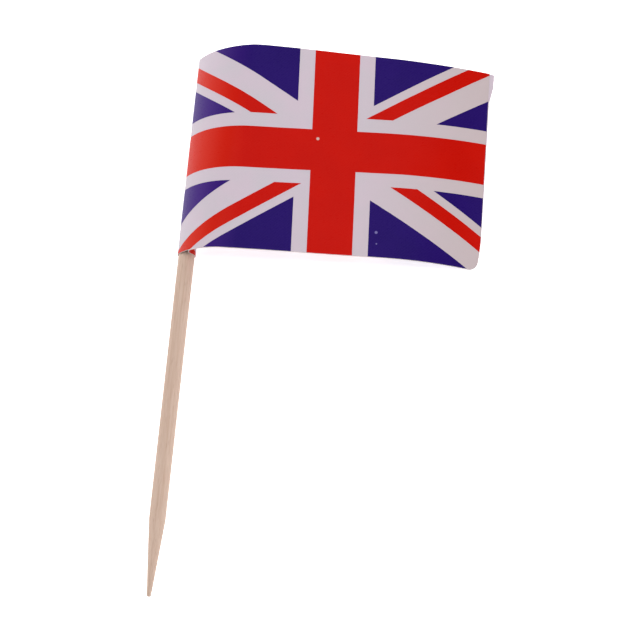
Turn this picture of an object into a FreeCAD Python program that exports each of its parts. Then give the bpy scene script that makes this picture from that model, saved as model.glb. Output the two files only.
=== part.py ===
import FreeCAD, Part
import math
import os
import Sketcher
from FreeCAD import Base, Vector

# Flag toothpick: a round wooden pick, pointed at one end, with a printed paper flag.
#
# The flag is one strip of paper, folded round the stick and glued back to back, and printed on
# its outer face. The pick lies on a table: the wrapped stick and the flag's fly edge touch it,
# and between them the stiff paper stands up in a low crest.
#
# Frame: the origin is on the stick's axis, level with the flag's lower edge. The stick runs
# along Y with its point at -Y, the flag leaves it towards +X, and Z is up. Sizes are in mm.

SIZES = [
    ("stick_diameter", 1.85, "round wooden stick"),
    ("stick_length", 65.0, "stick, point to hidden end"),
    ("point_length", 9.1, "tapered length at the point"),
    ("point_width", 0.45, "blunt end of the point"),
    ("end_bevel", 0.15, "bevel at the hidden end"),
    ("end_setback", 1.0, "hidden end, below the flag's upper edge"),
    ("flag_height", 25.0, "flag, along the stick"),
    ("half_strip", 38.2, "strip, from the middle of its fold to the fly edge"),
    ("paper_thickness", 0.1, "one layer of paper"),
    ("glue_film", 0.03, "glue between the layers and round the stick"),
    ("crease_radius", 0.8, "hollow behind the wrap, where the back layer turns to the front one"),
    ("rise_angle", 55.0, "degrees, at which the front layer leaves the stick"),
    ("crest_radius", 9.0, "bend from the stick over the crest"),
    ("tail_radius", 140.0, "gentle bend from the crest to the fly edge"),
    ("ink_depth", 0.03, "print, let into the face of the paper"),
    ("design_width", 40.0, "width for which the diagonals are drawn"),
    ("fold_margin", 0.6, "from the middle of the fold to the drawn design"),
    ("print_drop", 0.43, "middle of the print at the fold, below the middle of the flag"),
    ("print_skew", 1.8, "degrees, print against the sheet"),
    ("cross_bar", 5.15, "red bar of the upright cross"),
    ("cross_edging", 1.75, "white edging of the upright cross"),
    ("stripe_red", 1.65, "red stripe along a diagonal"),
    ("stripe_narrow", 1.0, "narrow white side of a red stripe"),
    ("stripe_broad", 2.7, "broad white side of a red stripe"),
]

doc = FreeCAD.newDocument("flag_toothpick")


# Driving dimensions

sheet = doc.addObject("Spreadsheet::Sheet", "sizes")
for row, (alias, value, note) in enumerate(SIZES, start=1):
    sheet.set("A%d" % row, note)
    sheet.set("B%d" % row, str(value))
    sheet.setAlias("B%d" % row, alias)
doc.recompute()


def size(alias):
    """A driving dimension, read from the sheet."""
    return float(sheet.get(alias))


# Values that follow from the driving dimensions

stick_radius = size("stick_diameter") / 2
paper = size("paper_thickness")
film = size("glue_film")
joined = 2 * paper + film
wrap_inner = stick_radius + film
wrap_outer = wrap_inner + paper
crease = size("crease_radius")
crest = size("crest_radius")
tail = size("tail_radius")
flag_height = size("flag_height")
rise = math.radians(size("rise_angle"))

# The front layer runs from the wrap straight into the crest. The back layer turns through the
# crease, whose centre makes a triangle with the stick's axis and the centre of the crest.
crest_reach = crest + joined / 2 - wrap_outer
crease_reach = wrap_outer + crease
crease_to_crest = crest - joined / 2 - crease


def corner(side, other, opposite):
    """Angle of a triangle between two of its sides."""
    return math.acos((side**2 + other**2 - opposite**2) / (2 * side * other))


seam_turn = corner(crest_reach, crease_to_crest, crease_reach)
crease_lead = corner(crest_reach, crease_reach, crease_to_crest)
crease_direction = rise - math.pi / 2 + crease_lead
wrap_turn = math.pi + crease_lead
crease_turn = crease_lead + seam_turn

# The fold's middle is halfway along the paper that isn't joined: front layer, wrap and crease
front_offset = (paper + film) / 2
loose_front = seam_turn * (crest + front_offset)
wrap_paper = wrap_turn * (wrap_outer - paper / 2)
crease_paper = crease_turn * (crease + paper / 2)
loose_half = (loose_front + wrap_paper + crease_paper) / 2
wrap_front = loose_half - loose_front
wrap_back = loose_half - crease_paper


def polar(centre, radius, angle):
    """Point (x, z) at an angle round a centre in the section across the stick."""
    return (centre[0] + radius * math.cos(angle), centre[1] + radius * math.sin(angle))


def lie_of_tail(fall):
    """Slope at the fly edge and height of its lower corner, for a slope where the crest ends."""
    tail_paper = size("half_strip") - wrap_front - (crest + front_offset) * (rise + fall)
    last = fall + tail_paper / (tail + front_offset)
    height = (crest - tail) * math.cos(fall) - crest_reach * math.cos(rise)
    height += (tail - joined / 2) * math.cos(last)
    return last, height + wrap_outer


# The slope after the crest is the one that lets the fly edge touch the table
lowest_fall = -rise / 2
steepest_fall = math.pi / 2
for halving in range(60):
    fall = (lowest_fall + steepest_fall) / 2
    last_fall, clear_height = lie_of_tail(fall)
    if clear_height > 0:
        lowest_fall = fall
    else:
        steepest_fall = fall

axis_point = (0.0, 0.0)
crest_centre = polar(axis_point, crest_reach, rise - math.pi / 2)
crease_centre = polar(axis_point, crease_reach, crease_direction)
crest_end = polar(crest_centre, crest, math.pi / 2 - fall)
tail_centre = polar(crest_end, tail, -math.pi / 2 - fall)


# Wooden stick: a turned pick, drawn as half its outline and revolved

def build_stick():
    body = doc.addObject("PartDesign::Body", "toothpick")
    plane = [f for f in body.Origin.OriginFeatures if f.Role == "XY_Plane"][0]
    outline = body.newObject("Sketcher::SketchObject", "stick_outline")
    outline.AttachmentSupport = [(plane, "")]
    outline.MapMode = "FlatFace"
    top = flag_height - size("end_setback")
    tip = top - size("stick_length")
    tip_radius = size("point_width") / 2
    bevel = size("end_bevel")
    corners = [
        Vector(0, tip, 0),
        Vector(tip_radius, tip + tip_radius / 2, 0),
        Vector(stick_radius, tip + size("point_length"), 0),
        Vector(stick_radius, top - bevel, 0),
        Vector(stick_radius - bevel, top, 0),
        Vector(0, top, 0),
    ]
    for start, end in zip(corners, corners[1:] + corners[:1]):
        outline.addGeometry(Part.LineSegment(start, end))
    count = len(corners)
    for line in range(count):
        outline.addConstraint(Sketcher.Constraint("Coincident", line, 2, (line + 1) % count, 1))
    outline.addConstraint(Sketcher.Constraint("PointOnObject", 0, 1, -2))
    outline.addConstraint(Sketcher.Constraint("Vertical", 2))
    outline.addConstraint(Sketcher.Constraint("Horizontal", 4))
    outline.addConstraint(Sketcher.Constraint("Vertical", 5))
    bound = [
        (("DistanceX", -1, 1, 2, 1, stick_radius), "sizes.stick_diameter / 2"),
        (("DistanceX", -1, 1, 0, 2, tip_radius), "sizes.point_width / 2"),
        (("DistanceY", 0, 1, 0, 2, tip_radius / 2), "sizes.point_width / 4"),
        (("DistanceY", 0, 1, 2, 1, size("point_length")), "sizes.point_length"),
        (("DistanceY", 0, 1, 4, 1, size("stick_length")), "sizes.stick_length"),
        (("DistanceX", 4, 1, 3, 1, bevel), "sizes.end_bevel"),
        (("DistanceY", 3, 1, 4, 1, bevel), "sizes.end_bevel"),
        (("DistanceY", -1, 1, 4, 1, top), "sizes.flag_height - sizes.end_setback"),
    ]
    for constraint, expression in bound:
        index = outline.addConstraint(Sketcher.Constraint(*constraint))
        outline.setExpression("Constraints[%d]" % index, expression)
    turned = body.newObject("PartDesign::Revolution", "turned_stick")
    turned.Profile = outline
    turned.ReferenceAxis = (outline, ["V_Axis"])
    turned.Angle = 360
    return body


# Folded strip: its section across the stick, padded over the flag's height

def build_folded_strip():
    body = doc.addObject("PartDesign::Body", "folded_strip")
    plane = [f for f in body.Origin.OriginFeatures if f.Role == "XZ_Plane"][0]
    section = body.newObject("Sketcher::SketchObject", "strip_section")
    section.AttachmentSupport = [(plane, "")]
    section.MapMode = "FlatFace"
    half = joined / 2
    over = math.pi / 2
    wrap = (rise + over, rise + over + wrap_turn)
    seam = rise + over - seam_turn
    crease_arc = (seam, seam + crease_turn)
    front_end = polar(tail_centre, tail + half, over - last_fall)
    back_end = polar(tail_centre, tail - half, over - last_fall)
    seam_front = polar(crest_centre, crest + film / 2, seam)
    seam_back = polar(crest_centre, crest - film / 2, seam)
    # Each curve is a centre, a radius, two angles and the expression for its radius, or two points
    wrapped = "sizes.stick_diameter / 2 + sizes.glue_film"
    shell = "sizes.paper_thickness + sizes.glue_film / 2"
    outer_loop = [
        (axis_point, wrap_outer, *wrap, wrapped + " + sizes.paper_thickness"),
        (crest_centre, crest + half, over - fall, rise + over, "sizes.crest_radius + " + shell),
        (tail_centre, tail + half, over - last_fall, over - fall, "sizes.tail_radius + " + shell),
        (front_end, back_end),
        (tail_centre, tail - half, over - last_fall, over - fall, None),
        (crest_centre, crest - half, over - fall, seam, None),
        (crease_centre, crease, *crease_arc, "sizes.crease_radius"),
    ]
    inner_loop = [
        (axis_point, wrap_inner, *wrap, wrapped),
        (crest_centre, crest + film / 2, seam, rise + over, None),
        (seam_front, seam_back),
        (crease_centre, crease + paper, *crease_arc, None),
    ]
    # End of one curve that meets the next: 1 is where a curve starts, 2 is where it ends
    outer_joints = [(0, 1, 1, 2), (1, 1, 2, 2), (2, 1, 3, 1), (3, 2, 4, 1),
                    (4, 2, 5, 1), (5, 2, 6, 1), (6, 2, 0, 2)]
    inner_joints = [(7, 1, 8, 2), (8, 1, 9, 1), (9, 2, 10, 1), (10, 2, 7, 2)]
    for index, curve in enumerate(outer_loop + inner_loop):
        if len(curve) == 2:
            start, end = [Vector(x, z, 0) for x, z in curve]
            section.addGeometry(Part.LineSegment(start, end))
            continue
        centre, radius, start, end, expression = curve
        circle = Part.Circle(Vector(centre[0], centre[1], 0), Vector(0, 0, 1), radius)
        section.addGeometry(Part.ArcOfCircle(circle, start, end))
        if expression:
            added = section.addConstraint(Sketcher.Constraint("Radius", index, radius))
            section.setExpression("Constraints[%d]" % added, expression)
    for joint in outer_joints + inner_joints:
        section.addConstraint(Sketcher.Constraint("Coincident", *joint))
    for arc in (0, 7):
        section.addConstraint(Sketcher.Constraint("Coincident", arc, 3, -1, 1))
    # The front layer leaves the stick at the rise angle, and the fly edge touches the table
    leaving = polar(axis_point, wrap_outer, rise + over)
    spoke = section.addGeometry(Part.LineSegment(Vector(0, 0, 0), Vector(*leaving, 0)), True)
    section.addConstraint(Sketcher.Constraint("Coincident", spoke, 1, -1, 1))
    section.addConstraint(Sketcher.Constraint("Coincident", spoke, 2, 0, 1))
    angle = section.addConstraint(Sketcher.Constraint("Angle", spoke, rise + over))
    section.setExpression("Constraints[%d]" % angle, "sizes.rise_angle * 1 deg + 90 deg")
    touch = section.addConstraint(Sketcher.Constraint("DistanceY", 3, 2, -1, 1, wrap_outer))
    section.setExpression("Constraints[%d]" % touch, wrapped + " + sizes.paper_thickness")
    strip = body.newObject("PartDesign::Pad", "folded_sheet")
    strip.Profile = section
    strip.Reversed = True
    strip.Length = flag_height
    strip.setExpression("Length", "sizes.flag_height")
    return body


# Runs of the printed face, from one fly edge round the stick to the other. Along a run the face
# turns round one centre. Its place is a length u of paper, which is 0 in the middle of the fold.

def printed_runs():
    over = math.pi / 2
    half = joined / 2
    crest_turn = rise + fall
    tail_turn = last_fall - fall
    runs = []

    def add(centre, face, inward, start, turn, sweep, u_start):
        """face is the printed face's radius; inward is 1 where the paper lies outside it."""
        middle = face + inward * paper / 2
        runs.append({"centre": centre, "face": face, "inward": inward, "start": start,
                     "turn": turn, "middle": middle, "u_start": u_start,
                     "u_end": u_start + sweep * middle})
        return runs[-1]["u_end"]

    u = add(axis_point, wrap_outer, -1, rise + over + wrap_turn, -1, wrap_turn, -wrap_back)
    u = add(crest_centre, crest + half, -1, rise + over, -1, crest_turn, u)
    add(tail_centre, tail + half, -1, over - fall, -1, tail_turn, u)
    # The back of the flag is laid out from its far end towards the fold
    back_crest_turn = crest_turn - seam_turn
    back_crest = back_crest_turn * (crest - half + paper / 2)
    back_tail = tail_turn * (tail - half + paper / 2)
    u = -wrap_back - crease_paper - back_crest - back_tail
    u = add(tail_centre, tail - half, 1, over - last_fall, 1, tail_turn, u)
    u = add(crest_centre, crest - half, 1, over - fall, 1, back_crest_turn, u)
    add(crease_centre, crease, 1, rise + over - seam_turn, 1, crease_turn, u)
    return runs


# Fields of the print, as flat outlines (a, b): a runs from the fold, b up from the print's middle

def keep_side(outline, axis, limit, side):
    """The part of an outline on one side of a line across an axis; side is 1 for above it."""
    kept = []
    for start, end in zip(outline, outline[1:] + outline[:1]):
        before = side * (start[axis] - limit)
        after = side * (end[axis] - limit)
        if before >= 0:
            kept.append(start)
        if before * after < 0:
            share = before / (before - after)
            kept.append(tuple(p + share * (q - p) for p, q in zip(start, end)))
    return kept


def on_both_faces(outline):
    """A field of the front face, as far as the fold, and its mirror image on the back."""
    front = keep_side(outline, 0, 0, 1)
    return [front, [(-a, b) for a, b in front]]


def cross_field(cross, bar, far, tall):
    """Upright cross: one long bar round the stick, with an upright on each face."""
    lower = [(-far, -bar)]
    for middle in (-cross, cross):
        lower += [(middle - bar, -bar), (middle - bar, -tall)]
        lower += [(middle + bar, -tall), (middle + bar, -bar)]
    lower.append((far, -bar))
    return [lower + [(-a, -b) for a, b in lower]]


def print_fields():
    """Outlines of the red and the blue fields, drawn past the sheet's edges."""
    bar = size("cross_bar") / 2
    clear = bar + size("cross_edging")
    slope = flag_height / size("design_width")
    lean = math.cos(math.atan(slope))
    red = size("stripe_red") / lean
    narrow = red + size("stripe_narrow") / lean
    broad = size("stripe_broad") / lean
    cross = size("fold_margin") + size("design_width") / 2
    tall = 2 * flag_height
    reach = tall / slope
    reds = [cross_field(cross, bar, size("half_strip") + flag_height, tall)]
    blues = []
    # In each quarter c runs outwards from the cross and d away from the long bar. The red stripe
    # lies on one side of the diagonal, and the side changes from each quarter to the next.
    for outward, away in ((-1, 1), (-1, -1), (1, 1), (1, -1)):
        if outward * away < 0:
            above, below, stripe_foot = broad, narrow, -red
        else:
            above, below, stripe_foot = narrow, broad, 0
        big = [(clear, slope * clear + above), (reach, tall + above), (clear, tall + above)]
        small = [((clear + below) / slope, clear), (reach, clear), (reach, tall - below)]
        stripe = [(0, stripe_foot), (reach, tall + stripe_foot)]
        stripe += [(reach, tall + stripe_foot + red), (0, stripe_foot + red)]
        stripe = keep_side(keep_side(stripe, 0, clear, 1), 1, clear, 1)
        for colour, quarter in ((blues, big), (blues, small), (reds, stripe)):
            colour.append(on_both_faces([(cross + outward * c, away * d) for c, d in quarter]))
    return reds, blues


def lay_on_sheet(outline):
    """An outline turned with the print and trimmed to the sheet, as points (u, v, a)."""
    skew = math.radians(size("print_skew"))
    foot = flag_height / 2 - size("print_drop")
    laid = []
    for a, b in outline:
        u = a * math.cos(skew) - b * math.sin(skew)
        v = foot + a * math.sin(skew) + b * math.cos(skew)
        laid.append((u, v, a))
    return keep_side(keep_side(laid, 1, 0, 1), 1, flag_height, -1)


# A field bent with the paper: its printed face, its floor in the paper and the walls between

def bent_edge(surface, centre, points):
    """An edge on a round surface between two points (angle, y) of a run."""
    zero = surface.value(0, 0) - Vector(centre[0], 0, centre[1])
    quarter = surface.value(math.pi / 2, 0) - Vector(centre[0], 0, centre[1])
    zero_angle = math.atan2(zero.z, zero.x)
    sense = 1 if math.sin(math.atan2(quarter.z, quarter.x) - zero_angle) > 0 else -1
    along = surface.Axis.y
    start, end = [Base.Vector2d(sense * (angle - zero_angle), along * y) for angle, y in points]
    return Part.Geom2d.Line2dSegment(start, end).toShape(surface)


def bend_field(outlines, runs):
    """The solids, as deep as the print, from flat outlines that may meet on the fold."""
    ends = (min(run["u_start"] for run in runs), max(run["u_end"] for run in runs))
    faces = []
    for outline, run in [(outline, run) for outline in outlines for run in runs]:
        borders = (run["u_start"], run["u_end"])
        piece = keep_side(lay_on_sheet(outline), 0, borders[0], 1)
        piece = keep_side(piece, 0, borders[1], -1)
        if len(piece) < 3:
            continue
        bent = [(run["start"] + run["turn"] * (u - run["u_start"]) / run["middle"], v)
                for u, v, a in piece]
        loops = []
        for radius in (run["face"], run["face"] + run["inward"] * size("ink_depth")):
            surface = Part.Cylinder()
            surface.Center = Vector(run["centre"][0], 0, run["centre"][1])
            surface.Axis = Vector(0, 1, 0)
            surface.Radius = radius
            loops.append([bent_edge(surface, run["centre"], pair)
                          for pair in zip(bent, bent[1:] + bent[:1])])
            faces.append(Part.Face(surface, Part.Wire(loops[-1])))
        # A wall stands on each side of the piece, but not where the field runs on past it
        joined_on = [(0, border) for border in borders if border not in ends] + [(2, 0)]
        for index, corner in enumerate(piece):
            following = piece[(index + 1) % len(piece)]
            if any(abs(corner[axis] - place) + abs(following[axis] - place) < 1e-6
                   for axis, place in joined_on):
                continue
            faces.append(Part.makeRuledSurface(loops[0][index], loops[1][index], 1))
    skin = Part.Compound(faces)
    skin.sewShape()
    solids = [Part.Solid(shell) for shell in skin.Shells]
    for solid in solids:
        if solid.Volume < 0:
            solid.reverse()
    return solids


# The model: the stick, the prints, and the strip with the prints let into its face

def build_print(name, fields, runs):
    """The fields of one colour, as one sub-part of separate solids."""
    ink = doc.addObject("Part::Feature", name)
    ink.Shape = Part.Compound([solid for field in fields for solid in bend_field(field, runs)])
    ink.Placement = FreeCAD.Placement()
    return ink


toothpick = build_stick()
folded_strip = build_folded_strip()
printed_face = printed_runs()
red_fields, blue_fields = print_fields()
red_ink = build_print("red_ink", red_fields, printed_face)
blue_ink = build_print("blue_ink", blue_fields, printed_face)
inks = doc.addObject("Part::Compound", "inks")
inks.Links = [red_ink, blue_ink]
flag_paper = doc.addObject("Part::Cut", "flag_paper")
flag_paper.Base = folded_strip
flag_paper.Tool = inks
doc.recompute()

# Every object and every shape is checked before anything is written

subparts = [toothpick, flag_paper, red_ink, blue_ink]
for made in doc.Objects:
    if "Invalid" in made.State or "Error" in made.State:
        raise RuntimeError("%s failed: %s" % (made.Label, made.State))
for subpart in subparts:
    if subpart.Shape.isNull() or not subpart.Shape.isValid():
        raise RuntimeError("%s has no valid shape" % subpart.Label)

os.makedirs("parts", exist_ok=True)
for subpart in subparts:
    subpart.Shape.exportStep("parts/%s.step" % subpart.Label)
    print(subpart.Label, len(subpart.Shape.Solids), "solids, %.3f mm3" % subpart.Shape.Volume)
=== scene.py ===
"""Flag toothpick: a printed paper flag, folded round the end of a wooden pick, lying on a pale table."""

import math
from collections import namedtuple

import bmesh
import bpy
from mathutils import Matrix, Vector, noise


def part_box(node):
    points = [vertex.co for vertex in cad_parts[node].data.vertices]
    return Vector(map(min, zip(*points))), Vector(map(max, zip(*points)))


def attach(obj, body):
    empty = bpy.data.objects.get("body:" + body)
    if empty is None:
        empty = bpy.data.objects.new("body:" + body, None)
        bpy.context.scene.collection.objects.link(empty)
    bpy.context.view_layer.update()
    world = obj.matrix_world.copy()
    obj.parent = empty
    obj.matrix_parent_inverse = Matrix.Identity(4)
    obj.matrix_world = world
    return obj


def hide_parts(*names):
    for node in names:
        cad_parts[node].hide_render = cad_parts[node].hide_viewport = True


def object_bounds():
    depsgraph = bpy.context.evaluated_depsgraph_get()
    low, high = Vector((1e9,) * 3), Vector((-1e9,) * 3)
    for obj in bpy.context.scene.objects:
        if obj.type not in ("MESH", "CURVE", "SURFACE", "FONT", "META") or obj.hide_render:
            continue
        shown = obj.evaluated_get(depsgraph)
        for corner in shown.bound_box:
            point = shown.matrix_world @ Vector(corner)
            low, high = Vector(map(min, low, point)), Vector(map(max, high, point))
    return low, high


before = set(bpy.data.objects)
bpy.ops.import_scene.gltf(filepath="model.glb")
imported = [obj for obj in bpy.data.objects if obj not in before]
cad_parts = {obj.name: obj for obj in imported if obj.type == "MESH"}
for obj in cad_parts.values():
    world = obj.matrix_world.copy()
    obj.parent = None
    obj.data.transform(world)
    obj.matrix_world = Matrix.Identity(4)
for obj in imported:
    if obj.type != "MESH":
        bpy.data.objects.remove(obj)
cad_low, cad_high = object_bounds()
stick_low, stick_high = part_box("toothpick")
paper_low, paper_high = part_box("flag_paper")

MM = 0.001
MM_PER_CM = 10

# The stick in millimetres, with its blunt point and the bevel of its flat end
STICK_RADIUS = stick_high.x / MM
STICK_TIP = stick_low.y / MM
STICK_END = stick_high.y / MM
STICK_LENGTH = STICK_END - STICK_TIP
POINT_LENGTH = 9.1
POINT_RADIUS = 0.225
BLUNT_LENGTH = POINT_RADIUS / 2
END_BEVEL = 0.15
STICK_SIDES = 72
SHARP_ANGLE = 35

# The unevenness of the wood. Grooves have a depth, a fineness round and along the stick and a place in the
# noise, which reaches about 0.6 to either side
Grooves = namedtuple("Grooves", "depth around along start")
FLUTES = Grooves(0.008, 2.1, 0.035, 0.0)
FIBRES = Grooves(0.005, 9.0, 0.22, 7.0)
NOISE_REACH = 0.6
STICK_SWELL = 0.024
RAGGED = Grooves(0.05, 3.0, 0.0, 2.0)
RAGGED_LENGTH = 0.6

# The folded strip in millimetres. PAPER is the thickness of one layer, JOINED that of both with the glue between,
# and LAYER the radius of the middle of the paper round the stick
FLAG_HEIGHT = (paper_high.y - paper_low.y) / MM
WRAP_RADIUS = -paper_low.x / MM
PAPER = 0.1
JOINED = 0.23
LAYER = WRAP_RADIUS - PAPER / 2
CREASE_RADIUS = 0.8
HALF_STRIP = 38.15
TAIL_RADIUS = 2000.0
CURL_LENGTH = 11.1

# The flag's profile at its lower and upper edge: degrees of rise, radius of the crest, degrees of curl
LOWER_PROFILE = (55.4, 6.37, 24.2)
UPPER_PROFILE = (55.05, 9.0, 12.9)
PROFILE_ROWS = 51

# The tail's fall after the crest, in radians, is sought below this angle until the fly edge meets the table
STEEPEST_FALL = 0.6
HALVINGS = 40

# The flat sheet's mesh: ends of the wrap and of the crest, and what is cut away past the fly and the upper edge
WRAP_TO = 4.3
CREST_TO = 12.8
SPARE_FLY = 0.8
SPARE_TOP = 0.2

# Tolerances: of a cut through a point and of the place of the fold, in millimetres, and of the joint there
SNAP = 1e-5
AT_FOLD = 1e-4
FOLD_GAP = 0.002 * MM

# The print, in millimetres. Its middle is measured from the fold and from the middle of the flag at the fold.
# A bar has half the width of its red and half the width with its white edging. A diagonal is a red stripe with
# narrow white on one side and broad white on the other
PRINT_MIDDLE = (20.42, -0.38)
PRINT_SKEW = math.radians(1.65)
PRINT_SLOPE = 0.625
LONG_BAR = (2.53, 4.2)
UPRIGHT = (2.62, 4.42)
STRIPE_RED = 1.65
STRIPE_NARROW = 1.0
STRIPE_BROAD = 2.7

# The cut outline. Marks on the fly edge are (share of the way up the flag, millimetres past the mean edge or
# past the front layer), and those of the upper edge are points (along, up) from the fly edge to the fold
CORNER_ROUND = 1.2
CORNER_STEPS = 8
FLY_EDGE = ((0.0, -0.05), (0.12, 0.08), (1.0, -0.1))
BACK_SHOWS = ((0.0, 0.0), (0.12, 0.1), (0.84, 0.15), (0.92, 0.55), (1.0, 0.6))
TOP_EDGE = ((HALF_STRIP, 24.69), (16.0, 25.08), (10.2, 25.10), (0.0, 24.58))

# Slight buckling of the joined layers: height, where it grows and fades along the strip, and for a slow and a
# quick wave the fineness along the strip and up the flag and the place in the noise
WAVE = 0.1
WAVE_GROWS = (5.0, 14.0)
WAVE_FADES = (31.0, 38.0)
SLOW_WAVE = (0.11, 0.09, 4.3)
QUICK_WAVE = (0.31, 0.24, 9.1)
QUICK_SHARE = 0.35

# A film of ink stands a little above the paper and reaches a little into it
FILM_TOP = 0.006
FILM_BOTTOM = -0.012

# Specks without ink on the front (along, up, radius), bare within radius / 1.4 and inked beyond radius / 0.8
SPECKS = ((18.46, 14.05, 0.18), (25.98, 2.98, 0.17), (26.1, 1.6, 0.09))
SPECK_CORE = 1.4
SPECK_RIM = 0.8

# Centimetres from the fold between which the ink's painted sheen and wear fade, and the paper's painted shade
# grows
WORN_AND_SHEEN_SPAN = (0.5, 1.0)
# The paper's painted shade grows between these centimetres from the fold
PAINTED_SHADE_SPAN = (2.2, 3.9)


# ---- Shape of the folded strip

def blend(start, end, share):
    return start + (end - start) * share


def ease(value, start, end):
    share = min(max((value - start) / (end - start), 0.0), 1.0)
    return share * share * (3 - 2 * share)


def between(marks, share):
    """Value at a share of the way up the flag, on straight runs between marks (share, value)."""
    (low, start), (high, end) = [pair for pair in zip(marks, marks[1:]) if pair[1][0] >= share][0]
    return blend(start, end, (share - low) / (high - low))


def polar(centre, radius, angle):
    return centre[0] + radius * math.cos(angle), centre[1] + radius * math.sin(angle)


def corner(side, other, opposite):
    """Angle of a triangle between two of its sides."""
    return math.acos((side**2 + other**2 - opposite**2) / (2 * side * other))


def crease_angles(crest):
    """Turn of the crest until the layers meet, and angle between crease and crest, seen from the stick."""
    reach = crest + JOINED / 2 - WRAP_RADIUS
    to_crease = WRAP_RADIUS + CREASE_RADIUS
    to_crest = crest - JOINED / 2 - CREASE_RADIUS
    return corner(reach, to_crest, to_crease), corner(reach, to_crease, to_crest)


def front_wrap():
    """Front paper from the middle of the fold to the crest, with both layers equally long where they meet."""
    crest = UPPER_PROFILE[1]
    seam_turn, lead = crease_angles(crest)
    loose_front = seam_turn * (crest + (JOINED - PAPER) / 2)
    loose_back = LAYER * (math.pi + lead) + (CREASE_RADIUS + PAPER / 2) * (lead + seam_turn)
    return (loose_back - loose_front) / 2


WRAP_FRONT = front_wrap()


def fly_reach(share):
    """How far the fly edge of the back layer lies past the mean one, at a share of the way up the flag."""
    return between(FLY_EDGE, share) + between(BACK_SHOWS, share)


# A run of paper starts at a length of the strip and an angle round its centre. Its printed face has a radius
# and looks away from the centre (outward 1) or to it (-1). The run's angles grow (turn 1) or shrink (-1)
Run = namedtuple("Run", "begin centre face outward angle turn")


class Profile:
    """Section of the folded strip across the stick, at a share of the way up the flag, as points (x, z).

    The front layer runs from its wrap round the stick straight into the crest, then down the nearly flat tail
    and into the curl at the fly. The back layer turns through a crease behind the stick and then lies
    against it.
    """

    def __init__(self, share):
        rise, self.crest, curl = (blend(a, b, share) for a, b in zip(LOWER_PROFILE, UPPER_PROFILE))
        self.rise, self.curl = math.radians(rise), math.radians(curl)
        self.curl_radius = CURL_LENGTH / self.curl
        self.crest_reach = self.crest + JOINED / 2 - WRAP_RADIUS
        self.fall, self.curl_start = self.settled(fly_reach(share))
        front, _ = self.laid(1)
        back, self.back_length = self.laid(-1)
        self.runs = {1: front, -1: back}

    def settled(self, past):
        """Slopes of the tail after the crest and before the curl, with the fly edge on the table."""
        low, high = 0.0, STEEPEST_FALL
        crest_middle = self.crest + (JOINED - PAPER) / 2
        for _ in range(HALVINGS):
            fall = (low + high) / 2
            tail = HALF_STRIP - WRAP_FRONT - CURL_LENGTH - crest_middle * (self.rise + fall)
            curl_start = fall + tail / TAIL_RADIUS
            curl_end = curl_start + self.curl + past / self.curl_radius
            height = (self.crest - TAIL_RADIUS) * math.cos(fall) - self.crest_reach * math.cos(self.rise)
            height += (TAIL_RADIUS - self.curl_radius) * math.cos(curl_start)
            height += (self.curl_radius - JOINED / 2) * math.cos(curl_end)
            if height > -WRAP_RADIUS:
                low = fall
            else:
                high = fall
        return fall, curl_start

    def laid(self, side):
        """The runs of the front (side 1) or back (side -1) layer, and the length of its paper."""
        top = math.pi / 2
        seam_turn, lead = crease_angles(self.crest)
        runs = [Run(0.0, (0, 0), WRAP_RADIUS, 1, self.rise + top + WRAP_FRONT / LAYER, -side)]
        begin = WRAP_FRONT
        crest_start = self.rise + top
        if side < 0:
            begin = LAYER * (math.pi + lead) - WRAP_FRONT
            crease_centre = polar((0, 0), WRAP_RADIUS + CREASE_RADIUS, self.rise - top + lead)
            runs.append(Run(begin, crease_centre, CREASE_RADIUS, -1, self.rise + top + lead, -1))
            begin += (CREASE_RADIUS + PAPER / 2) * (lead + seam_turn)
            crest_start -= seam_turn
        tail_start, curl_start = top - self.fall, top - self.curl_start
        crest_centre = polar((0, 0), self.crest_reach, self.rise - top)
        tail_centre = polar(crest_centre, self.crest - TAIL_RADIUS, tail_start)
        curl_centre = polar(tail_centre, TAIL_RADIUS - self.curl_radius, curl_start)
        for centre, radius, start, end in (
            (crest_centre, self.crest, crest_start, tail_start),
            (tail_centre, TAIL_RADIUS, tail_start, curl_start),
            (curl_centre, self.curl_radius, curl_start, curl_start - self.curl),
        ):
            runs.append(Run(begin, centre, radius + side * JOINED / 2, side, start, -1))
            begin += (radius + side * (JOINED - PAPER) / 2) * (start - end)
        return runs, begin

    def point(self, side, along, lift):
        """A point of the front (side 1) or back (side -1) layer, lift above its printed face."""
        begin, centre, face, outward, angle, turn = [run for run in self.runs[side] if run.begin <= along][-1]
        angle += turn * (along - begin) / (face - outward * PAPER / 2)
        return polar(centre, face + outward * lift, angle)


PROFILES = [Profile(row / (PROFILE_ROWS - 1)) for row in range(PROFILE_ROWS)]


def wave(along, up):
    """Height of the buckling, nothing at the stick and at the fly edge."""
    window = ease(along, *WAVE_GROWS) * (1 - ease(along, *WAVE_FADES))
    slow, quick = (noise.noise(Vector((along * x, up * y, z))) for x, y, z in (SLOW_WAVE, QUICK_WAVE))
    return WAVE * window * (slow + QUICK_SHARE * quick)


def on_strip(side, along, up, lift):
    """The place in metres of a point of the strip, along from the middle of its fold and up the flag."""
    row = min(max(up / FLAG_HEIGHT, 0.0), 1.0) * (PROFILE_ROWS - 1)
    index = min(int(row), PROFILE_ROWS - 2)
    lift += side * wave(along, up)
    x0, z0 = PROFILES[index].point(side, along, lift)
    x1, z1 = PROFILES[index + 1].point(side, along, lift)
    share = row - index
    return Vector((blend(x0, x1, share) * MM, up * MM, blend(z0, z1, share) * MM))


def strip_normal(side, along, up):
    """The direction out of the printed face."""
    step = 0.02
    length = on_strip(side, along + step, up, 0) - on_strip(side, max(along - step, 0.0), up, 0)
    height = on_strip(side, along, up + step, 0) - on_strip(side, along, up - step, 0)
    return (height.cross(length) * -side).normalized()


# ---- The print, on one half of the strip laid out flat

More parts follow.
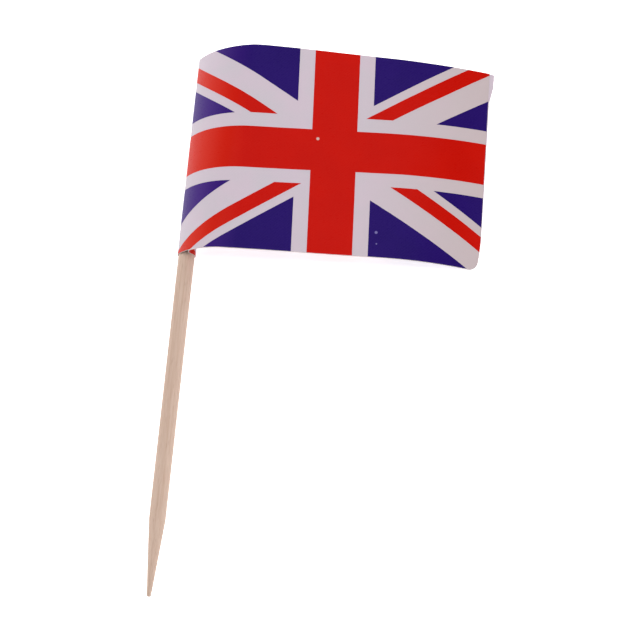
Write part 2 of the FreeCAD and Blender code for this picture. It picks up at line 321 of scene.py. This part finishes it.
def to_print(along, up):
    """Print coordinates, from the middle of the cross, of a point of the flat half strip."""
    up = up - FLAG_HEIGHT / 2 - PRINT_MIDDLE[1]
    cos, sin = math.cos(PRINT_SKEW), math.sin(PRINT_SKEW)
    return along * cos + up * sin - PRINT_MIDDLE[0], up * cos - along * sin


def from_print(across, rise):
    """The point of the flat half strip with these print coordinates."""
    cos, sin = math.cos(PRINT_SKEW), math.sin(PRINT_SKEW)
    across += PRINT_MIDDLE[0]
    return across * cos - rise * sin, across * sin + rise * cos + FLAG_HEIGHT / 2 + PRINT_MIDDLE[1]


def print_colour(along, up):
    """red, blue or white at a point of the flat half strip."""
    across, rise = to_print(along, up)
    if abs(across) < UPRIGHT[0] or abs(rise) < LONG_BAR[0]:
        return "red"
    if abs(rise) < LONG_BAR[1]:
        return "white"
    slope = PRINT_SLOPE if across * rise > 0 else -PRINT_SLOPE
    off = (rise - slope * across) / math.hypot(1, slope)
    if across > 0:
        off = -off
    if -STRIPE_RED < off < 0:
        return "red"
    if -STRIPE_RED - STRIPE_NARROW < off < STRIPE_BROAD or abs(across) < UPRIGHT[1]:
        return "white"
    return "blue"


def steps_between(marks):
    """Coordinates from a list of (start, count), evenly spaced up to the next start."""
    values = []
    for (start, count), (end, _) in zip(marks, marks[1:]):
        values += [blend(start, end, i / count) for i in range(count)]
    return values + [marks[-1][0]]


COLUMNS = steps_between([(0, 40), (WRAP_TO, 34), (CREST_TO, 38), (HALF_STRIP + SPARE_FLY, 0)])
ROWS = steps_between([(0, 50), (FLAG_HEIGHT, 1), (FLAG_HEIGHT + SPARE_TOP, 0)])


def divide(sheet, faces, place, normal):
    """Cuts faces of the flat sheet along the line through a place, across a normal."""
    geometry = {}
    for face in faces:
        geometry.update(dict.fromkeys((face, *face.edges, *face.verts)))
    bmesh.ops.bisect_plane(sheet, geom=list(geometry), dist=SNAP, plane_co=place, plane_no=normal)


def cut(sheet, faces, across, rise, normal):
    """Cuts faces of the flat sheet along a line through a point and across a normal in print coordinates."""
    here = Vector((*from_print(across, rise), 0))
    there = Vector((*from_print(across + normal[0], rise + normal[1]), 0))
    divide(sheet, faces, here, there - here)


def quarter(sheet, side, level):
    """The faces of a quarter of the print, between the red of the upright and the white of the long bar."""
    chosen = []
    for face in sheet.faces:
        across, rise = to_print(*face.calc_center_median().xy)
        if across * side > UPRIGHT[0] and rise * level > LONG_BAR[1]:
            chosen.append(face)
    return chosen


def flat_half(trim):
    """The half strip laid out flat, x from the fold and y up the flag, cut along every line of the print."""
    sheet = bmesh.new()
    grid = [[sheet.verts.new((x, y, 0)) for y in ROWS] for x in COLUMNS]
    for left, right in zip(grid, grid[1:]):
        for low in range(len(ROWS) - 1):
            sheet.faces.new((left[low], right[low], right[low + 1], left[low + 1]))
    for sign in (-1, 1):
        for upright, long_bar in zip(UPRIGHT, LONG_BAR):
            cut(sheet, sheet.faces, sign * upright, 0, (1, 0))
            cut(sheet, sheet.faces, 0, sign * long_bar, (0, 1))
    for side in (-1, 1):
        for level in (-1, 1):
            slope = PRINT_SLOPE * side * level
            for off in (-STRIPE_RED - STRIPE_NARROW, -STRIPE_RED, 0, STRIPE_BROAD):
                shift = -side * off * math.hypot(1, slope)
                cut(sheet, quarter(sheet, side, level), 0, shift, (-slope, 1))
    trim(sheet)
    return sheet


def trim_line(sheet, start, end, low=0.0, high=math.inf):
    """Cuts away what lies to the right of the way from start to end, between two heights of the flat sheet."""
    place = Vector((*start, 0))
    outward = Vector((end[1] - place.y, place.x - end[0], 0))
    divide(sheet, [f for f in sheet.faces if low < f.calc_center_median().y < high], place, outward)
    outside = []
    for face in sheet.faces:
        middle = face.calc_center_median()
        if low < middle.y < high and (middle - place).dot(outward) > 0:
            outside.append(face)
    bmesh.ops.delete(sheet, geom=outside, context="FACES")


def trim_edges(sheet, fly):
    """Cuts the fly edge along points from its lower end up, then its lower corner and the upper edge."""
    for start, end in zip(fly, fly[1:]):
        trim_line(sheet, start, end, start[1], end[1] if end[1] < FLAG_HEIGHT else math.inf)
    middle = (fly[0][0] - CORNER_ROUND, CORNER_ROUND)
    for step in range(CORNER_STEPS):
        angles = [-math.pi / 2 * (1 - (step + more) / CORNER_STEPS) for more in (0, 1)]
        trim_line(sheet, *(polar(middle, CORNER_ROUND, angle) for angle in angles))
    for start, end in zip(TOP_EDGE, TOP_EDGE[1:]):
        trim_line(sheet, start, end)


def trim_front(sheet):
    trim_edges(sheet, [(HALF_STRIP + past, share * FLAG_HEIGHT) for share, past in FLY_EDGE])


def trim_back(sheet):
    """The back layer shows a little past the front one at the fly edge, most at its upper end."""
    fly = []
    for share, _ in BACK_SHOWS:
        flush = PROFILES[round(share * (PROFILE_ROWS - 1))].back_length
        fly.append((flush + fly_reach(share), share * FLAG_HEIGHT))
    trim_edges(sheet, fly)


# ---- Solids from the flat sheets

# Kinds of faces: on the printed face, through the sheet at its edge, on the back of the paper or ink
OUTER, EDGE, INNER = 1, 0, -1


def into_scene(name, data):
    thing = bpy.data.objects.new(name, data)
    bpy.context.scene.collection.objects.link(thing)
    return thing


def as_piece(name, mesh, materials):
    """Makes an object of a finished mesh."""
    data = bpy.data.meshes.new(name)
    mesh.to_mesh(data)
    mesh.free()
    for material in materials:
        data.materials.append(material)
    return into_scene(name, data)


class Shell:
    """A closed piece built from layers of the strip, with their smooth normals and flat coordinates in cm."""

    def __init__(self):
        self.mesh = bmesh.new()
        self.flat = self.mesh.loops.layers.uv.new("flat")
        self.kind = self.mesh.faces.layers.int.new("kind")
        self.places = {}

    def layer(self, sheet, side, colours, top, bottom):
        """Adds the part of a layer that has one of these colours, between two heights over its printed face."""
        chosen = [f for f in sheet.faces if print_colour(*f.calc_center_median().xy) in colours]
        picked = set(chosen)
        made = {}

        def raised(vert, lift):
            key = (vert.index, lift)
            if key not in made:
                made[key] = self.mesh.verts.new(on_strip(side, vert.co.x, vert.co.y, lift))
                self.places[made[key]] = (side, vert.co.x, vert.co.y)
            return made[key]

        # The layers are joined at the fold, so nothing closes them there
        sheet.verts.index_update()
        for face in chosen:
            corners = list(face.verts) if side > 0 else list(reversed(face.verts))
            self.add([raised(v, top) for v in corners], OUTER)
            self.add([raised(v, bottom) for v in reversed(corners)], INNER)
            for loop in face.loops:
                at_edge = sum(other in picked for other in loop.edge.link_faces) == 1
                at_fold = all(v.co.x < AT_FOLD for v in loop.edge.verts)
                if not at_edge or at_fold:
                    continue
                start, end = loop.vert, loop.link_loop_next.vert
                if side < 0:
                    start, end = end, start
                lower, upper = [[raised(v, lift) for v in (start, end)] for lift in (bottom, top)]
                self.add(lower + upper[::-1], EDGE)

    def add(self, corners, kind):
        face = self.mesh.faces.new(corners)
        face[self.kind] = kind
        face.material_index = 1 if kind == EDGE else 0
        face.smooth = True
        for loop in face.loops:
            side, along, up = self.places[loop.vert]
            loop[self.flat].uv = (side * along / MM_PER_CM, up / MM_PER_CM)

    def finish(self, name, materials):
        """Joins the two layers at the fold and makes the object."""
        fold = [v for v, (side, along, up) in self.places.items() if along < AT_FOLD]
        bmesh.ops.remove_doubles(self.mesh, verts=fold, dist=FOLD_GAP)
        self.mesh.normal_update()
        normals = []
        for face in self.mesh.faces:
            side = math.copysign(1, sum(loop[self.flat].uv.x for loop in face.loops))
            for loop in face.loops:
                if face[self.kind] == EDGE:
                    normals.append(face.normal.copy())
                else:
                    flat = loop[self.flat].uv * MM_PER_CM
                    normals.append(strip_normal(side, abs(flat.x), flat.y) * face[self.kind])
        piece = as_piece(name, self.mesh, materials)
        piece.data.normals_split_custom_set(normals)
        return piece


# ---- Materials

# The colour sockets of a mix node
MIX_FIRST, MIX_SECOND, MIX_RESULT = 6, 7, 2

EDGE_DEEP = (0.52, 0.47, 0.46)
EDGE_PALE = (0.68, 0.63, 0.62)
WOOD_DEEP = (0.475, 0.325, 0.248)
WOOD_PALE = (0.595, 0.447, 0.363)
WOOD_WARM = (0.57, 0.40, 0.315)
WOOD_FIBRE = (0.665, 0.53, 0.445)
WOOD_PORE = (0.34, 0.21, 0.14)
TABLE_DEEP = (0.93, 0.93, 0.93)
TABLE_PALE = (0.95, 0.95, 0.95)
# Painted shade: a darker, warmer paper tone towards the fly edge
SHADED_PAPER = (0.512, 0.424, 0.430)
FULL_WHITE = (1.0, 1.0, 1.0, 1.0)


class Graph:
    """Short names for building the nodes of a material or of the world."""

    def __init__(self, owner, shader="Principled BSDF"):
        owner.use_nodes = True
        self.owner = owner
        self.tree = owner.node_tree
        self.shader = self.tree.nodes[shader]
        self.place = self.tree.nodes.new("ShaderNodeTexCoord").outputs

    def put(self, node, values):
        """Sets sockets to values or links outputs to them."""
        for name, value in values.items():
            if isinstance(value, bpy.types.NodeSocket):
                self.tree.links.new(value, node.inputs[name])
            else:
                node.inputs[name].default_value = value

    def add(self, kind, values, output):
        """The output of a new node with these values."""
        node = self.tree.nodes.new(kind)
        self.put(node, values)
        return node.outputs[output]

    def mapped(self, vector, scale=(1.0, 1.0, 1.0), rotation=(0.0, 0.0, 0.0)):
        return self.add("ShaderNodeMapping", {"Vector": vector, "Scale": scale, "Rotation": rotation}, "Vector")

    def axis(self, vector, name):
        return self.add("ShaderNodeSeparateXYZ", {"Vector": vector}, name)

    def noise(self, vector, scale, detail=3.0, rough=0.5, twist=0.0):
        values = {"Vector": vector, "Scale": scale, "Detail": detail, "Roughness": rough, "Distortion": twist}
        return self.add("ShaderNodeTexNoise", values, "Fac")

    def cells(self, vector, scale):
        return self.add("ShaderNodeTexVoronoi", {"Vector": vector, "Scale": scale}, "Distance")

    def stripes(self, vector, scale, twist):
        return self.add("ShaderNodeTexWave", {"Vector": vector, "Scale": scale, "Distortion": twist}, "Fac")

    def remap(self, value, given, wanted=(0.0, 1.0), smooth=False):
        """Takes a range of values to another one, and holds its ends beyond it."""
        node = self.tree.nodes.new("ShaderNodeMapRange")
        node.interpolation_type = "SMOOTHSTEP" if smooth else "LINEAR"
        self.put(node, {"Value": value, "From Min": given[0], "From Max": given[1]})
        self.put(node, {"To Min": wanted[0], "To Max": wanted[1]})
        return node.outputs["Result"]

    def combine(self, operation, first, second=0.0):
        node = self.tree.nodes.new("ShaderNodeMath")
        node.operation = operation
        self.put(node, {0: first, 1: second})
        return node.outputs["Value"]

    def distance(self, vector, point):
        node = self.tree.nodes.new("ShaderNodeVectorMath")
        node.operation = "DISTANCE"
        self.put(node, {0: vector, 1: point})
        return node.outputs["Value"]

    def mix(self, share, first, second):
        node = self.tree.nodes.new("ShaderNodeMix")
        node.data_type = "RGBA"
        self.put(node, {"Factor": share})
        for socket, value in ((MIX_FIRST, first), (MIX_SECOND, second)):
            self.put(node, {socket: value if isinstance(value, bpy.types.NodeSocket) else (*value, 1.0)})
        return node.outputs[MIX_RESULT]

    def bump(self, height, distance, strength=1.0):
        values = {"Height": height, "Distance": distance, "Strength": strength}
        self.put(self.shader, {"Normal": self.add("ShaderNodeBump", values, "Normal")})

    def finish(self, colour, roughness, specular):
        self.put(self.shader, {"Base Color": colour, "Roughness": roughness, "Specular IOR Level": specular})
        return self.owner


def coated(name, colour, deep, pale, mottle, rough):
    """Coated paper or ink on it: cloudy density, a faint diagonal screen and fibres under the coat."""
    graph = Graph(bpy.data.materials.new(name))
    flat = graph.place["UV"]
    clouds = graph.noise(flat, scale=2.2, detail=3.0, rough=0.55)
    grains = graph.noise(flat, scale=55.0, detail=2.0, rough=0.6)
    diagonal = graph.mapped(flat, rotation=(0.0, 0.0, math.radians(45)))
    screen = graph.stripes(diagonal, scale=12.0, twist=0.4)
    stretched = graph.mapped(flat, scale=(9.0, 34.0, 1.0))
    fibres = graph.noise(stretched, scale=3.0, detail=4.0, rough=0.65, twist=0.6)
    tone = graph.mix(graph.remap(clouds, (0.38, 0.62)), deep, colour)
    tone = graph.mix(graph.remap(grains, (0.35, 0.75), (0.0, mottle)), tone, pale)
    tone = graph.mix(graph.remap(screen, (0.0, 1.0), (0.0, mottle * 0.6)), tone, pale)
    height = graph.combine("ADD", fibres, graph.combine("MULTIPLY", grains, 0.35))
    graph.bump(height, distance=0.006 * MM, strength=0.6)
    return graph, tone, graph.remap(fibres, (0.3, 0.7), (rough - 0.05, rough + 0.07))


def paper_material():
    """White coated paper, with painted shade that makes it a little darker and warmer towards the fly edge."""
    graph, tone, roughness = coated(
        "coated_paper",
        colour=(0.562, 0.466, 0.536),
        deep=(0.524, 0.472, 0.522),
        pale=(0.585, 0.510, 0.566),
        mottle=0.4,
        rough=0.38,
    )
    # Painted shade: towards the fly edge the paper is mixed to a darker, warmer tone
    painted_shade = graph.remap(graph.axis(graph.place["UV"], "X"), PAINTED_SHADE_SPAN)
    return graph.finish(graph.mix(painted_shade, tone, SHADED_PAPER), roughness, specular=0.11)


def ink_material(name, colour, deep, pale, worn_and_sheen, bare):
    """Glossy ink with a few specks of bare paper, lighter along the fold: partly ink thinned by wear, partly
    painted sheen.
    """
    graph, tone, roughness = coated(name, colour, deep, pale, mottle=0.5, rough=0.30)
    flat = graph.place["UV"]
    from_fold = graph.combine("ABSOLUTE", graph.axis(flat, "X"))
    # Painted sheen and ink thinned by wear: towards the fold the ink is mixed to a lighter colour
    tone = graph.mix(graph.remap(from_fold, WORN_AND_SHEEN_SPAN, (1.0, 0.0)), tone, worn_and_sheen)
    for along, up, radius in SPECKS:
        reach = graph.distance(flat, (along / MM_PER_CM, up / MM_PER_CM, 0))
        soft = (radius / (SPECK_CORE * MM_PER_CM), radius / (SPECK_RIM * MM_PER_CM))
        tone = graph.mix(graph.remap(reach, soft, (1.0, 0.0)), tone, bare)
    return graph.finish(tone, roughness, specular=0.11)


def edge_material():
    """The cut edge of the paper, open fibres between two coats."""
    graph = Graph(bpy.data.materials.new("cut_edge"))
    fibres = graph.noise(graph.place["Object"], scale=9000.0, detail=4.0, rough=0.7)
    tone = graph.mix(graph.remap(fibres, (0.3, 0.7)), EDGE_DEEP, EDGE_PALE)
    graph.bump(fibres, distance=0.01 * MM)
    return graph.finish(tone, graph.remap(fibres, (0.3, 0.7), (0.75, 0.9)), specular=0.2)


def wood_material():
    """Pale birch: long fine grain, short dark pores, a slow change of tone along the stick."""
    graph = Graph(bpy.data.materials.new("birch"))

    def stretched(across, along):
        return graph.mapped(graph.place["Object"], scale=(across, along, across))

    grain = graph.noise(stretched(5200.0, 130.0), scale=1.0, detail=4.0, rough=0.6, twist=0.3)
    fine = graph.noise(stretched(16000.0, 420.0), scale=1.0, detail=2.0, rough=0.6)
    slow = graph.noise(stretched(600.0, 60.0), scale=1.0, detail=2.0, rough=0.5)
    pores = graph.cells(stretched(7000.0, 480.0), scale=1.0)
    tone = graph.mix(graph.remap(grain, (0.3, 0.7)), WOOD_DEEP, WOOD_PALE)
    tone = graph.mix(graph.remap(slow, (0.35, 0.65), (0.0, 0.35)), tone, WOOD_WARM)
    tone = graph.mix(graph.remap(fine, (0.4, 0.75), (0.0, 0.35)), tone, WOOD_FIBRE)
    tone = graph.mix(graph.remap(pores, (0.10, 0.22), (0.45, 0.0)), tone, WOOD_PORE)
    height = graph.combine("ADD", grain, graph.combine("MULTIPLY", fine, 0.5))
    height = graph.combine("ADD", height, graph.remap(pores, (0.08, 0.25), (-0.6, 0.0)))
    graph.bump(height, distance=0.02 * MM)
    return graph.finish(tone, graph.remap(fine, (0.3, 0.7), (0.58, 0.76)), specular=0.3)


# ---- Pieces

def build_flag():
    """The folded paper and the films of red and blue ink on it."""
    paper, edge = paper_material(), edge_material()
    red = ink_material(
        "red_ink",
        colour=(0.50, 0.0030, 0.0002),
        deep=(0.475, 0.0024, 0.0002),
        pale=(0.52, 0.009, 0.003),
        # Lighter red near the fold: painted sheen and ink thinned by wear
        worn_and_sheen=(0.565, 0.022, 0.010),
        bare=(0.6, 0.42, 0.38),
    )
    blue = ink_material(
        "blue_ink",
        colour=(0.0150, 0.0036, 0.110),
        deep=(0.0125, 0.0030, 0.098),
        pale=(0.024, 0.008, 0.140),
        # Lighter blue near the fold: painted sheen and ink thinned by wear
        worn_and_sheen=(0.048, 0.016, 0.172),
        bare=(0.17, 0.145, 0.35),
    )
    front, back = flat_half(trim_front), flat_half(trim_back)
    pieces = []
    for name, colours, top, bottom, materials in (
        ("folded_paper", ("red", "white", "blue"), 0.0, -PAPER, (paper, edge)),
        ("red_print", ("red",), FILM_TOP, FILM_BOTTOM, (red, red)),
        ("blue_print", ("blue",), FILM_TOP, FILM_BOTTOM, (blue, blue)),
    ):
        shell = Shell()
        shell.layer(front, 1, colours, top, bottom)
        shell.layer(back, -1, colours, top, bottom)
        pieces.append(shell.finish(name, materials))
    front.free()
    back.free()
    return pieces


def stick_radius(along):
    """Radius of the stick at a distance from its tip, before the unevenness of the wood."""
    if along < BLUNT_LENGTH:
        return POINT_RADIUS * math.sqrt(along / BLUNT_LENGTH)
    if along < POINT_LENGTH:
        return blend(POINT_RADIUS, STICK_RADIUS, (along - BLUNT_LENGTH) / (POINT_LENGTH - BLUNT_LENGTH))
    return min(STICK_RADIUS, STICK_RADIUS - END_BEVEL + STICK_LENGTH - along)


def groove_noise(grooves, across, along):
    """Noise at a direction across the stick and a distance from its tip."""
    level = along * grooves.along + grooves.start
    return noise.noise(Vector((across.x * grooves.around, across.y * grooves.around, level)))


def build_stick():
    """The turned stick, with faint flutes and fibres along it and a slightly ragged tip."""
    bevel_start = STICK_LENGTH - END_BEVEL
    places = steps_between(
        [(0.0, 6), (BLUNT_LENGTH, 60), (POINT_LENGTH, 240), (bevel_start, 3), (STICK_LENGTH, 0)]
    )
    mesh = bmesh.new()
    rings = []
    for along in places[1:]:
        ring = []
        for step in range(STICK_SIDES):
            angle = 2 * math.pi * step / STICK_SIDES
            across = Vector((math.cos(angle), math.sin(angle)))
            uneven = STICK_SWELL
            for grooves in (FLUTES, FIBRES):
                uneven -= grooves.depth * (NOISE_REACH + groove_noise(grooves, across, along))
            radius = stick_radius(along) + uneven
            ragged = RAGGED.depth * groove_noise(RAGGED, across, along) * (1 - ease(along, 0, RAGGED_LENGTH))
            y = STICK_TIP + along + abs(ragged)
            ring.append(mesh.verts.new((radius * across.x * MM, y * MM, radius * across.y * MM)))
        rings.append(ring)
    for low, high in zip(rings, rings[1:]):
        for step in range(STICK_SIDES):
            after = (step + 1) % STICK_SIDES
            mesh.faces.new((low[step], high[step], high[after], low[after]))
    for ring, y in ((rings[0], STICK_TIP), (rings[-1], STICK_END)):
        middle = mesh.verts.new((0, y * MM, 0))
        for step in range(STICK_SIDES):
            mesh.faces.new((ring[step], ring[(step + 1) % STICK_SIDES], middle))
    bmesh.ops.recalc_face_normals(mesh, faces=mesh.faces)
    piece = as_piece("turned_stick", mesh, [wood_material()])
    piece.data.polygons.foreach_set("use_smooth", [True] * len(piece.data.polygons))
    piece.data.set_sharp_from_angle(angle=math.radians(SHARP_ANGLE))
    return piece


folded_paper, red_print, blue_print = build_flag()
turned_stick = build_stick()

for piece, node, slot in (
    (folded_paper, "flag_paper", "white_paper"),
    (red_print, "red_ink", "red_print"),
    (blue_print, "blue_ink", "blue_print"),
    (turned_stick, "toothpick", "wood"),
):
    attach(piece, "root")
    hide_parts(node)


# ---- Table, light and camera

def build_table():
    """A wide pale table just under the part, lit a little from below."""
    half = 1.5
    gap = 0.002 * MM
    level = cad_low.z - gap
    mesh = bpy.data.meshes.new("table")
    corners = [(-half, -half, level), (half, -half, level), (half, half, level), (-half, half, level)]
    mesh.from_pydata(corners, [], [(0, 1, 2, 3)])
    graph = Graph(bpy.data.materials.new("pale_table"))
    clouds = graph.noise(graph.place["Object"], scale=30.0)
    tone = graph.mix(graph.remap(clouds, (0.3, 0.7)), TABLE_DEEP, TABLE_PALE)
    graph.put(graph.shader, {"Emission Color": FULL_WHITE, "Emission Strength": 0.7})
    mesh.materials.append(graph.finish(tone, graph.remap(clouds, (0.3, 0.7), (0.8, 0.9)), specular=0.1))
    table = into_scene("table", mesh)


def build_light():
    """A light tent, bright round its foot and dark at its top, and one large soft lamp overhead."""
    world = bpy.data.worlds.new("light_tent")
    bpy.context.scene.world = world
    graph = Graph(world, "Background")
    upward = graph.axis(graph.place["Generated"], "Z")
    foot_and_top, strengths = (0.38, 0.72), (1.05, 0.04)
    strength = graph.remap(upward, foot_and_top, strengths, smooth=True)
    graph.put(graph.shader, {"Color": FULL_WHITE, "Strength": strength})
    lamp = bpy.data.lights.new("softbox", "AREA")
    lamp.size = 0.5
    lamp.energy = 3.42
    box = into_scene("softbox", lamp)
    box.location = (0.0, 0.12, 0.6)
    box.visible_glossy = False
    box.rotation_euler = (-box.location).to_track_quat("-Z", "Y").to_euler()


def build_camera():
    """A camera above the flag, turned towards the middle of the pick, with a long lens."""
    place = Vector((70.66, -139.67, 366.99)) * MM
    target = Vector((16.30, -7.15, 0.0)) * MM
    picture_up = Vector((-0.0915, 1.0, 0.0))
    back_way = (place - target).normalized()
    right = picture_up.cross(back_way).normalized()
    up = back_way.cross(right)
    data = bpy.data.cameras.new("camera")
    data.lens = 193.3
    data.clip_start = 0.01
    camera = into_scene("camera", data)
    camera.matrix_world = Matrix.Translation(place) @ Matrix((right, up, back_way)).transposed().to_4x4()
    bpy.context.scene.camera = camera


build_table()
build_light()
build_camera()
bpy.context.scene.view_settings.view_transform = "Standard"
bpy.context.view_layer.update()
